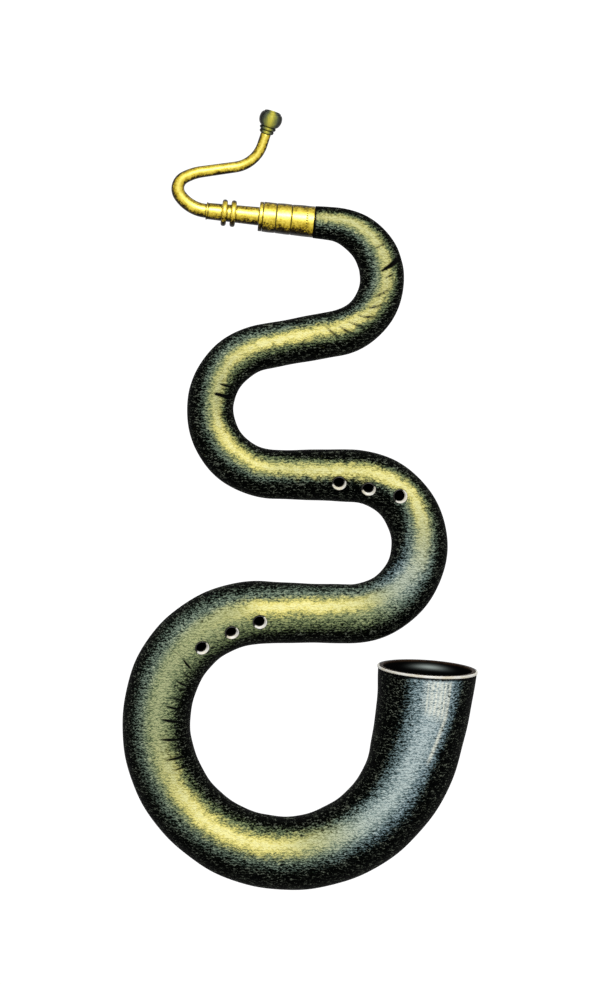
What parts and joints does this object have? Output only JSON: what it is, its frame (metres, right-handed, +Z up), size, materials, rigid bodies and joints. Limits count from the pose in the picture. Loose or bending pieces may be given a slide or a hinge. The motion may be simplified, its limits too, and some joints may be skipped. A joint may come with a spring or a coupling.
{
  "type": "serpent bass horn",
  "caption": "Keyless serpentine wooden bass horn under black leather, with bone finger bushings, brass ferrule, swivelling bent brass crook and a turned horn mouthpiece.",
  "frame": {"origin": "where a padded display peg bears, on the underside of the neck just past the brass ferrule", "axes": "+Z up, +X towards the bell's side, -Y towards the side with the finger holes; the winding body lies in the plane Y = 0"},
  "size_m": [0.4271, 0.1208, 0.9474],
  "materials": {
    "leather": "black goatskin, polished, with a fine grain",
    "walnut": "oiled walnut",
    "bone": null,
    "brass": "polished yellow brass with darker hollows",
    "horn": null,
    "thread": "waxed linen thread"
  },
  "bodies": {
    "serpent_body": {"body_half_front": "walnut", "body_half_back": "walnut", "leather_neck": "leather", "leather_upper": "leather", "leather_middle": "leather", "leather_bell": "leather", "finger_bushing_1": "bone", "finger_bushing_2": "bone", "finger_bushing_3": "bone", "finger_bushing_4": "bone", "finger_bushing_5": "bone", "finger_bushing_6": "bone", "bell_hoop": "bone", "neck_ferrule": "brass", "ferrule_cap": "brass", "socket_liner": "brass"},
    "tenon_thread": {"tenon_lapping": "thread"},
    "crook": {"crook_sleeve": "brass", "crook_collar_1": "brass", "crook_collar_2": "brass", "crook_tube": "brass"},
    "shank_thread": {"mouthpiece_wrap": "thread"},
    "mouthpiece": {"mouthpiece": "horn"}
  },
  "joints": [
    {"name": "crook_draw", "type": "slide", "parent": "serpent_body", "child": "tenon_thread", "axis": [-0.9945, 0, 0.1045], "range_m": [0, 0.042]},
    {"name": "crook_swivel", "type": "hinge", "parent": "tenon_thread", "child": "crook", "pos_m": [-0.07549, 0, 0.02793], "axis": [-0.9945, 0, 0.1045], "range_deg": [-150, 150]},
    {"name": "mouthpiece_draw", "type": "slide", "parent": "crook", "child": "shank_thread", "axis": [0.309, 0, 0.9511], "range_m": [0, 0.016]},
    {"name": "mouthpiece_turn", "type": "hinge", "parent": "shank_thread", "child": "mouthpiece", "pos_m": [-0.06704, 0, 0.12806], "axis": [0.309, 0, 0.9511], "continuous": true}
  ]
}
